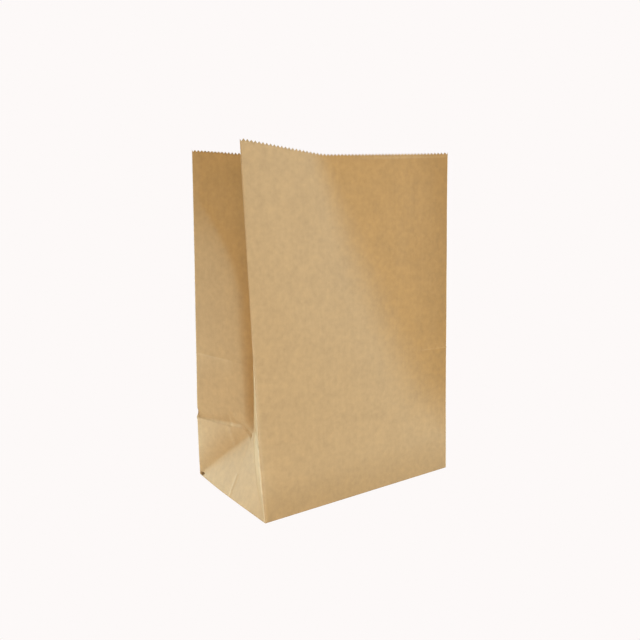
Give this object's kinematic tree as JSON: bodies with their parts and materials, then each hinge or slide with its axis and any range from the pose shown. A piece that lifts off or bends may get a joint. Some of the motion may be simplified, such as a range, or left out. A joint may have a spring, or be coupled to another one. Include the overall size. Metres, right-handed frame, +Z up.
{
  "type": "paper bag",
  "caption": "Flat-bottomed brown kraft paper bag, standing open, with a gusset folded into each side, a block bottom and a pinked zigzag mouth.",
  "frame": {"origin": "middle of the base, on the surface that the bag stands on", "axes": "+Z up towards the open mouth, +X along the width with the two gussets at -X and +X, +Y towards the back panel that has the glued seam"},
  "size_m": [0.2463, 0.1417, 0.3503],
  "materials": {
    "kraft_paper": "matt unbleached brown kraft paper, machine smooth, with a faint cloudy fibre pattern"
  },
  "bodies": {
    "root": {"paper_bag": "kraft_paper"}
  },
  "joints": []
}
